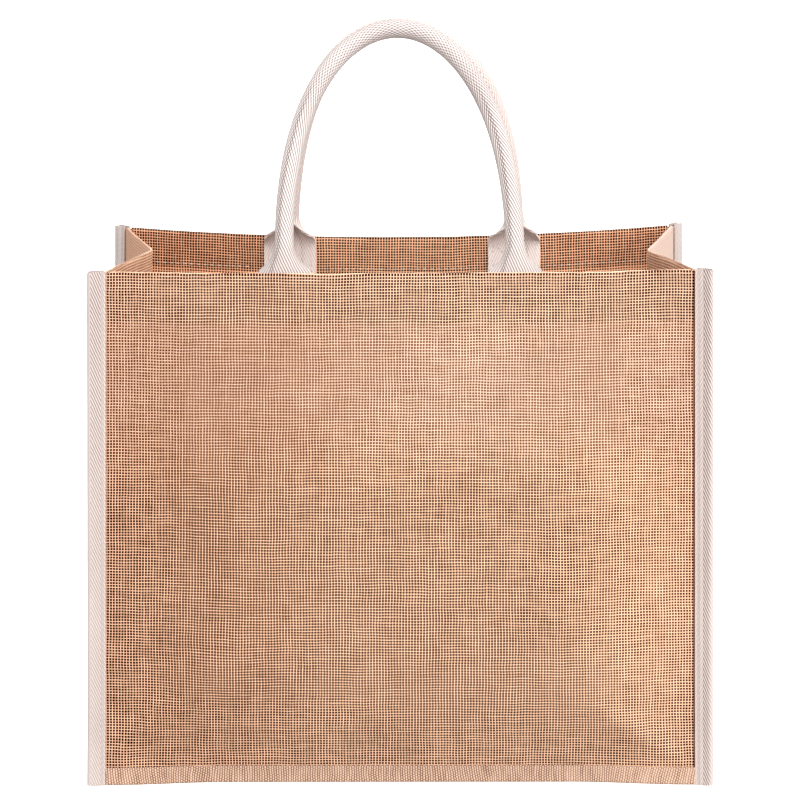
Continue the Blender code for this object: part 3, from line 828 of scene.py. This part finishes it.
def stripSection():
    # how far in from the wall's middle, and the height, from outer to inner top edge
    out = -(bag["layer"] + strip["clear"])
    into = 2 * (bag["layer"] + strip["clear"])
    foot = bag["layer"] / 2
    r = strip["round"]
    fall = np.linspace(strip["height"], foot + r, strip["sideRows"])
    bend = np.linspace(0, math.pi / 2, strip["bendRows"])[1:]
    slow, fast = r * (1 - np.cos(bend)), r * (1 - np.sin(bend))
    first = np.stack([out + slow, foot + fast], -1)
    second = np.stack([into - fast, foot + slow], -1)
    outer = np.stack([np.full(len(fall), out), fall], -1)
    rise = np.linspace(foot + r, strip["height"] - bag["gap"], strip["sideRows"])[1:]
    inner = np.stack([np.full(len(rise), into), rise], -1)
    lip = np.clip(1 - (strip["height"] - fall) / strip["lipHeight"], 0, 1)
    outer[:, 0] += strip["lip"] * lip ** 2
    return np.concatenate([outer, first, second, inner])


def makeStrip(name, surface, inward, half, outerCut, columns):
    # surface gives the cloth that it is folded round, and inward the way into the bag
    section = stripSection()
    bend = section[0, 0] + strip["round"]  # the outer fold runs the strip's whole length
    depth = (section[:, 0] - bend) / (section[-1, 0] - bend)
    shares = np.linspace(-1, 1, columns)
    reach = 1 - mix(outerCut, strip["innerCut"], np.clip(depth, 0, 1)) / half
    points = []
    for share in shares:
        points.append(surface(share * reach, section[:, 1]) + np.array(inward) * section[:, :1])
    points = np.array(points)
    points[..., 2] = section[None, :, 1]
    piece = makeSheet(f"strip{name}", points, strip["thick"], shares[:, None] * half,
                      runOf(section)[None], stripRibs)
    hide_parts(f"base_binding_{name.lower()}")


def makeStrips():
    for face in (front, back):
        name = faceNames[face]
        makeStrip(name, partial(wallPoint, face), (0.0, -face, 0.0),
                  bag["footWidth"] / 2, strip["cuts"][face], strip["longColumns"])
    for side in (left, right):
        name = sideNames[side]
        makeStrip(name, partial(gussetPoint, side), (-side, 0.0, 0.0),
                  bag["footDepth"] / 2, strip["sideCut"], strip["shortColumns"])


# Base

base = {
    "level": 0.0131,
    "sag": 0.0055,
    "turn": (0.0040, 0.0013),
    "inset": 0.00165,
    "ripple": 0.0003,
    "rippleReach": (0.19, 0.09),  # half its size, for the ripples
    "seed": 33,
    "thick": 0.0011,
    "columns": 85,
    "rows": 41,
    "cut": (0.420, 0.208),
}


def makeBase():
    # its edges turn down inside the walls, except for a notch at each corner
    down = np.array([base["level"] - bag["wallFoot"], *base["turn"]])
    lines = []
    for size, count in ((bag["footWidth"], base["columns"]), (bag["footDepth"], base["rows"])):
        corner = 1 - strip["innerCut"] / (size / 2)
        outer = np.linspace(-1, -corner, 4)[:-1]
        flat = np.concatenate([outer, np.linspace(-corner, corner, count), -outer[::-1]])
        shares = np.concatenate([[-1] * 3, flat, [1] * 3])
        drops = np.concatenate([down, 0 * flat, down[::-1]])
        middle = np.abs(shares[1:] + shares[:-1]) / 2
        lines.append((shares, drops, middle > corner, middle == 1))
    us, downU, endU, flapU = lines[0]
    vs, downV, endV, flapV = lines[1]
    u, v = np.meshgrid(us, vs)
    drop = np.maximum(downU[None], downV[:, None])
    z = base["level"] - drop
    inset = base["inset"]
    start, end = (gussetPoint(side, v, z)[..., 0] - side * inset for side in (left, right))
    near, far = (wallPoint(face, u, z)[..., 1] - face * inset for face in (front, back))
    sag = base["sag"] * (1 - u**4) * (1 - v**4) * (drop == 0)
    reachU, reachV = base["rippleReach"]
    uneven = base["ripple"] * ripples(u * reachU, v * reachV, base["seed"])
    sag = sag + uneven * (1 - u**4) * (1 - v**4)
    points = np.stack([mix(start, end, (u + 1) / 2), mix(near, far, (v + 1) / 2), z - sag], -1)
    cells = ~(flapV[:, None] & endU[None] | flapU[None] & endV[:, None])
    across = us * bag["footWidth"] / 2 + np.sign(us) * downU
    along = vs * bag["footDepth"] / 2 + np.sign(vs) * downV
    piece = makeSheet(
        "baseCloth", tilted(points), base["thick"], across[None], along[:, None], jute, cells)
    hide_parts("base_panel")


# Cotton tape folded round each upright seam

tape = {
    "thick": 0.0009,
    "over": 0.002225,  # from the seam to the middle of the tape's cloth
    "start": 0.0006,
    "rise": 0.0010,
    "corner": 0.0030,
    "cornerPower": 8,
    "grooveAt": 0.0024,  # its stitched groove, from the selvage
    "grooveWide": 0.0010,
    "grooveDepth": 0.00028,
    "flatColumns": 19,  # of the mesh, on either side of the seam
    "turnColumns": 15,  # and round its edge
    "rows": 116,  # up to just below its top
    "topRows": 6,
    "lip": 0.00012,  # its selvage stands up by this much
    "lipWide": 0.0008,
    "swell": 0.00012,
    "footLift": 0.0013,
    "footFade": 0.02,
    "cut": (0.0253, 0.351),
}

tapeLook = {
    "light": (0.585, 0.525, 0.500),
    "shade": (0.240, 0.180, 0.172),
    "steep": 2.3,
    "pitch": 0.0038,
    "second": 0.4,  # how clear the other slant's ribs are
    "fades": 0.70,
    "selvageLow": 0.14,
    "grooveWide": 0.0015,
    "relief": 0.00030,
}
# Each corner's tape has its own rib darkness, fold shade and selvage tone: partly painted shade,
# for how much light that tape gets
tapeLooks = {
    (front, left): {"spine": 0.0028, "strength": 1.8, "foldShade": 0.20, "selvage": 0.02},
    (front, right): {"spine": -0.0066, "strength": 2.8, "foldShade": 0.0, "selvage": 0.12},
    (back, left): {"spine": -0.0058, "strength": 1.1, "foldShade": 0.12, "selvage": 0.18},
    (back, right): {"spine": 0.0040, "strength": 1.1, "foldShade": 0.0, "selvage": 0.09},
}


def tapeSection():
    # out along the allowances and over to either side, from selvage to selvage
    flat = np.linspace(tape["start"], bag["allowance"], tape["flatColumns"])
    near = flat - tape["start"]
    dip = tape["grooveDepth"] * np.exp(-((near - tape["grooveAt"]) / tape["grooveWide"]) ** 2)
    flatOver = tape["over"] - dip + tape["lip"] * np.exp(-(near / tape["lipWide"]) ** 2)
    turn = np.linspace(math.pi / 2, -math.pi / 2, tape["turnColumns"])[1:-1]
    outs = np.concatenate([flat, bag["allowance"] + tape["over"] * np.cos(turn), flat[::-1]])
    overs = np.concatenate([flatOver, tape["over"] * np.sin(turn), -flatOver[::-1]])
    w = runOf(np.stack([outs, overs], -1))
    return outs, overs, w - w[-1] / 2


def makeTape(face, side):
    outs, overs, w = tapeSection()
    top = bag["height"] + tape["rise"]
    body = np.linspace(0.0, top - 0.006, tape["rows"])
    heights = np.concatenate([body, np.linspace(top - 0.005, top, tape["topRows"])])
    edge = bag["allowance"] + tape["over"] + tape["thick"] / 2
    past = np.clip((outs - edge + tape["corner"]) / tape["corner"], 0, 1)
    drop = tape["corner"] * (1 - np.sqrt(1 - past**2))
    level = heights[:, None]
    z = level - drop * (level / top) ** tape["cornerPower"]
    swell = tape["swell"] * ripples(w, level, 20 + 2 * face + side)
    flat = seamPoint(side, face, z, outs[None], overs[None] + np.sign(overs)[None] * swell)
    points = tilted(np.concatenate([flat, z[..., None]], -1))
    lift = tape["footLift"] * np.clip(outs / outs.max(), 0, 1)
    points[..., 2] += lift * np.exp(-level / tape["footFade"])
    name = f"{faceNames[face]}{sideNames[side]}"
    material = makeHerringbone(f"cottonTwill{name}", dict(
        tapeLook, **tapeLooks[face, side], half=w[-1], groove=tape["grooveAt"],
        lean=1 if side * face > 0 else -1))
    piece = makeSheet(f"tape{name}", points, tape["thick"], w[None], level, material)
    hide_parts(f"tape_{faceNames[face]}_{sideNames[side]}".lower())


# Handles

webbing = {
    "thick": 0.0013,
    "cadThick": 0.0014,
    "width": 0.0365,
    "tab": 0.036,
    "tabSteps": 15,
    "tabClear": 0.00075,
    "curlHeights": (-0.0065, 0.0205),
    "curlClosed": 0.985,
    "narrowing": 0.94,
    "deepening": 1.04,
    "loopHeight": {front: 0.1542, back: 0.1550},
    "squareness": 2.5,
    "leanEase": 1.25,
    "crestApart": 0.0132,
    "columns": 31,
    "loopSteps": 105,
    "loopEase": 1.25,  # draws the steps together at the foot of the loop
    # half the distance between its legs, the middle of the tabs and the crest's lean
    "legs": {front: (0.0757, -0.0002, -0.0020), back: (0.0788, 0.0017, -0.0015)},
    "sway": {(front, left): -0.0007, (front, right): 0.0003,
             (back, left): 0.0024, (back, right): -0.0012},
    "cut": (0.0365, 0.482),
}

webbingLook = {"steep": 2.3, "pitch": 0.0042, "lean": 1, "second": 1.0, "relief": 0.00035}
# The back handle has paler, warmer colours than the front one, and paler tabs: painted light, for
# the light that it lacks behind the front handle and over the bag's inside
webbingLooks = {
    front: {"light": (0.660, 0.612, 0.602), "shade": (0.235, 0.190, 0.182), "strength": 1.8,
            "tabLitColour": (0.610, 0.550, 0.535), "tabStrength": 1.0},
    back: {"light": (0.760, 0.700, 0.680), "shade": (0.330, 0.225, 0.195), "strength": 1.2,
           "tabLitColour": (0.995, 0.895, 0.860), "tabStrength": 0.50},
}


def curledSection(curl):
    # across the webbing, flat at curl 0 and a closed tube at 1: sideways and inward
    share = np.linspace(-1, 1, webbing["columns"])
    width = webbing["width"]
    sideways = width / 2 * share * np.sinc(curl * share)
    inward = width * math.pi * curl * share**2 / 4 * np.sinc(curl * share / 2) ** 2
    sideways = sideways * mix(1, webbing["narrowing"], curl)
    return sideways, inward * mix(1, webbing["deepening"], curl)


def tabPoint(face, x, z):
    place = wallPoint(face, x / halfWidth(z), z)
    clear = bag["layer"] * 1.5 + webbing["tabClear"] + webbing["cadThick"] / 2
    return place - np.array([0, face * clear, 0])


def handleLine(face):
    # from tab to tab: the webbing's middle, the way into the bag and how far it is curled
    spread, centre, crestLean = webbing["legs"][face]
    top = tabPoint(face, np.array(spread), np.array(bag["height"]))
    crest = face * webbing["crestApart"]
    loop = webbing["loopHeight"][face]
    bend = webbing["leanEase"]
    leg = [(0.0, -drop) for drop in np.linspace(webbing["tab"], 0, webbing["tabSteps"])]
    for share in np.arange(1, webbing["loopSteps"] + 1) / webbing["loopSteps"]:
        theta = math.pi / 2 * share ** webbing["loopEase"]
        leg.append((theta, loop * math.sin(theta) ** (2 / webbing["squareness"])))
    line = []
    for side in (left, right):
        half = []
        for theta, height in leg:
            share = max(height, 0) / loop
            x = centre + side * spread * math.cos(theta)
            sway = webbing["sway"][face, side]
            x += sway * math.sin(math.pi * share) + crestLean * share
            if height <= 0:
                place = tabPoint(face, np.array(x), np.array(bag["height"] + height))
                inward = np.array([0.0, -face, 0.0])
            else:
                place = np.array([x, mix(top[1], crest, share**bend), top[2] + height])
                slope = (crest - top[1]) * bend * share ** (bend - 1)
                inward = np.array([0.0, -face * loop, face * slope])
                inward /= np.linalg.norm(inward)
            curl = webbing["curlClosed"] * float(ease(height, *webbing["curlHeights"]))
            half.append((place, inward, curl))
        line.extend(half if side == left else half[-2::-1])
    return line


def makeHandle(face):
    line = handleLine(face)
    places = np.array([place for place, _, _ in line])
    ways = np.gradient(places, axis=0)
    ways /= np.linalg.norm(ways, axis=-1, keepdims=True)
    points = []
    normals = []
    for (place, inward, curl), way in zip(line, ways):
        sideways, into = curledSection(curl)
        inward = inward - way * inward.dot(way)
        inward /= np.linalg.norm(inward)
        aside = np.cross(way, inward)
        ring = place + aside * sideways[:, None] + inward * into[:, None]
        level = np.full(len(ring), min(place[2], bag["height"]))
        onWall = tabPoint(face, ring[:, 0], level)
        middle = tabPoint(face, np.array(place[0]), np.array(level[0]))
        ring[:, 1] += (onWall[:, 1] - middle[1]) * (1 - curl) ** 2
        points.append(ring)
        normals.append(inward)
    points = tilted(points)
    along = runOf(places)
    across = np.linspace(-0.5, 0.5, webbing["columns"]) * webbing["width"]
    name = faceNames[face]
    look = dict(webbingLook, **webbingLooks[face], loop=along[-1])
    material = makeHerringbone(f"cottonWebbing{name}", look)
    piece = makeSheet(
        f"handle{name}", points, webbing["thick"], across[None], along[:, None], material)
    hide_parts(f"handle_{name.lower()}")
    print(f"handle{name} is {along[-1]:.3f} m long")
    closed = np.array([curl for _, _, curl in line]) > stitch["closedFrom"]
    inner = np.array(normals)
    seam = (points[:, 0] + points[:, -1]) / 2 + inner * webbing["thick"] * 0.5
    return piece, seam[closed], inner[closed]


# Stitching

stitch = {
    "rings": 5,
    "sides": 6,
    # length, gap and radius of each row's stitches
    "tape": (0.0026, 0.0011, 0.00026),
    "tapeEnds": (0.004, 0.002),  # its row starts and stops this far from the foot and the top
    "tab": (0.0026, 0.0008, 0.00034),
    "tube": (0.0030, 0.0012, 0.00034),
    "hem": (0.0034, 0.0016, 0.00040),
    "boxHalf": 0.0150,  # of the sewn box on each tab
    "boxHeights": (0.0325, 0.0045),  # its foot and its top, below the bag's top edge
    "closedFrom": 0.93,  # the tube is sewn where it is curled this far
    "hemBelow": 0.0228,
    "hemReach": 0.955,
    "hemClear": 0.001,  # of the handles' tabs
}


def addStitch(verts, faces, start, end, up, radius):
    # a low hump of thread, sunk into the cloth at both ends
    rings, sides = stitch["rings"], stitch["sides"]
    way = end - start
    length = np.linalg.norm(way)
    way = way / length
    up = up - way * up.dot(way)
    up /= np.linalg.norm(up)
    aside = np.cross(way, up)
    first = len(verts)
    for k in range(rings):
        t = k / (rings - 1)
        hump = math.sin(math.pi * t)
        size = radius * (0.55 + 0.45 * hump)
        middle = start + way * length * t + up * radius * (1.5 * hump - 0.9)
        for s in range(sides):
            turn = 2 * math.pi * s / sides
            verts.append(middle + size * (aside * math.cos(turn) + up * math.sin(turn)))
    for k in range(rings - 1):
        for s in range(sides):
            a = first + k * sides + s
            b = first + k * sides + (s + 1) % sides
            faces.append((a, a + sides, b + sides, b))
    faces.append(tuple(first + s for s in range(sides)))
    faces.append(tuple(first + (rings - 1) * sides + s for s in range(sides - 1, -1, -1)))


def lineAt(values, run, at):
    return np.array([np.interp(at, run, column) for column in values.T])


def makeStitches(name, lines, material):
    # along each line of points, stitches of one length with gaps between them
    verts, faces = [], []
    for places, ups, kind in lines:
        length, skip, radius = stitch[kind]
        run = runOf(places)
        at = skip
        while at + length < run[-1]:
            start, end = lineAt(places, run, at), lineAt(places, run, at + length)
            addStitch(verts, faces, start, end, lineAt(ups, run, at + length / 2), radius)
            at += length + skip
    mesh = bpy.data.meshes.new(name)
    mesh.from_pydata([tuple(v) for v in verts], [], faces)
    piece = placeMesh(name, mesh, material)
    return piece


def stitchTapes():
    lines = []
    foot, top = stitch["tapeEnds"]
    heights = np.linspace(foot, bag["height"] - top, 60)
    out = tape["start"] + tape["grooveAt"]
    for face in (front, back):
        for side in (left, right):
            for over in (1, -1):
                lay = over * (tape["over"] + tape["thick"] / 2 - tape["grooveDepth"])
                flat = seamPoint(side, face, heights, out, lay)
                line = tilted(np.concatenate([flat, heights[:, None]], -1))
                above = seamPoint(side, face, heights, out, lay + over)
                ups = np.concatenate([above - flat, 0 * heights[:, None]], -1)
                lines.append((line, ups, "tape"))
    thread = makeThread("cottonThread", (0.60, 0.55, 0.52), (0.42, 0.37, 0.35))
    makeStitches("tapeStitching", lines, thread)


def stitchHandle(face, thread):
    # a box with a cross on each tab, and a row along the closed tube's inner side
    lines = []
    spread, centre, _ = webbing["legs"][face]
    z1, z2 = (bag["height"] - below for below in stitch["boxHeights"])
    for side in (left, right):
        x1, x2 = (centre + side * spread + way * stitch["boxHalf"] for way in (-1, 1))
        xs, zs = (x1, x2, x2, x1), (z1, z1, z2, z2)
        for i, j in ((0, 1), (1, 2), (2, 3), (3, 0), (0, 2), (3, 1)):
            line = tabPoint(face, np.linspace(xs[i], xs[j], 12), np.linspace(zs[i], zs[j], 12))
            line[:, 1] -= face * webbing["thick"] / 2
            ups = np.tile([0.0, -face, 0.0], (len(line), 1))
            lines.append((tilted(line), ups, "tab"))
    lines.append((*handles[face][1:], "tube"))
    return makeStitches(f"handle{faceNames[face]}Stitching", lines, thread)


def stitchHem(face, thread):
    # the row that holds the turned-in layer, seen on its inner side
    lines = []
    leg = webbing["legs"][face][0]
    u = np.linspace(-stitch["hemReach"], stitch["hemReach"], 90)
    place = wallPoint(face, u, np.full(len(u), bag["height"] - stitch["hemBelow"]))
    place[:, 1] -= face * (2 * burlap["hemRound"] + burlap["thick"] / 2)
    x = place[:, 0]
    clear = np.abs(np.abs(x) - leg) > webbing["width"] / 2 + stitch["hemClear"]
    ups = np.tile([0.0, -face, 0.0], (len(u), 1))
    for part in (x < -leg, np.abs(x) < leg, x > leg):
        lines.append((tilted(place[part & clear]), ups[part & clear], "hem"))
    return makeStitches(f"hemStitching{faceNames[face]}", lines, thread)


# Building it all

walls = {face: makeWall(face) for face in (front, back)}
gussets = {side: makeGusset(side) for side in (left, right)}
print("walls and gussets made")
makeStrips()
makeBase()
print("base and strips made")
for face in (front, back):
    for side in (left, right):
        makeTape(face, side)
print("tapes made")
handles = {face: makeHandle(face) for face in (front, back)}
print("handles made")

stitchTapes()
juteThread = makeThread("juteThread", (0.98, 0.80, 0.68), (0.62, 0.42, 0.30))
hemStitches = {face: stitchHem(face, juteThread) for face in (front, back)}
webbingThread = makeThread("webbingThread", (0.88, 0.80, 0.76), (0.64, 0.56, 0.52))
for face in (front, back):
    threads = stitchHandle(face, webbingThread)
print("stitching made")


# Table, light and camera

studio = {
    "distance": 2.221,
    "elevation": math.radians(12.22),
    "yaw": math.radians(-0.166),
    "target": (0.0, 0.0, 0.2440),
    "lens": 145.2,
    "floor": 30.0,
    "floorLevel": -0.0003,
    "world": 0.80,
    "worldColour": (1.0, 0.955, 0.93),
    "lamps": (  # name, place, aim, size, power, colour
        ("key", (1.1, -2.1, 1.9), (0.0, 0.0, 0.25), 2.2, 36.5, (1.0, 0.985, 0.965)),
        ("fill", (-1.9, -1.6, 0.9), (0.0, 0.0, 0.2), 1.6, 8.0, (0.96, 0.98, 1.0)),
        ("top", (-0.1, -0.9, 2.1), (0.0, 0.0, 0.3), 1.6, 32.0, (1.0, 1.0, 1.0)),
        ("side", (2.2, -0.4, 0.9), (0.0, 0.0, 0.3), 1.2, 25.0, (1.0, 0.985, 0.965)),
        ("low", (0.2, -1.7, 0.12), (0.0, 0.0, 0.42), 0.8, 12.0, (1.0, 0.92, 0.87)),
    ),
}


def makeFloor():
    bpy.ops.mesh.primitive_plane_add(size=studio["floor"], location=(0, 0, studio["floorLevel"]))
    floor = bpy.context.object
    floor.name = "whiteTable"
    material, _, shader = newMaterial("whiteTable", 0.9)
    setInputs(shader, {"Base Color": (0.93, 0.93, 0.93, 1), "Emission Color": (1, 1, 1, 1),
                       "Emission Strength": 1.0})
    floor.data.materials.append(material)
    floor.visible_diffuse = False  # white as it is, it throws no light up at the bag
    floor.visible_glossy = False


def aimed(name, data, place, aim):
    holder = bpy.data.objects.new(name, data)
    holder.location = place
    way = Vector(aim) - Vector(place)
    holder.rotation_euler = way.to_track_quat("-Z", "Y").to_euler()
    bpy.context.collection.objects.link(holder)
    return holder


def addLamp(name, place, aim, size, power, colour):
    lamp = bpy.data.lights.new(name, "AREA")
    lamp.shape = "DISK"
    lamp.size = size
    lamp.energy = power
    lamp.color = colour
    aimed(name, lamp, place, aim)


def makeCamera():
    lens = bpy.data.cameras.new("camera")
    lens.lens = studio["lens"]
    lens.sensor_width = 36
    lens.clip_end = 100
    flat = studio["distance"] * math.cos(studio["elevation"])
    offset = (flat * math.sin(studio["yaw"]), -flat * math.cos(studio["yaw"]),
              studio["distance"] * math.sin(studio["elevation"]))
    place = Vector(studio["target"]) + Vector(offset)
    bpy.context.scene.camera = aimed("camera", lens, place, studio["target"])


def makeStudio():
    makeFloor()
    world = bpy.data.worlds.new("paleRoom")
    world.use_nodes = True
    sky = world.node_tree.nodes["Background"]
    sky.inputs[0].default_value = (*studio["worldColour"], 1)
    sky.inputs[1].default_value = studio["world"]
    bpy.context.scene.world = world
    for lamp in studio["lamps"]:
        addLamp(*lamp)
    makeCamera()
    bpy.context.scene.view_settings.view_transform = "Standard"


makeStudio()
print("studio ready")

bpy.context.view_layer.update()
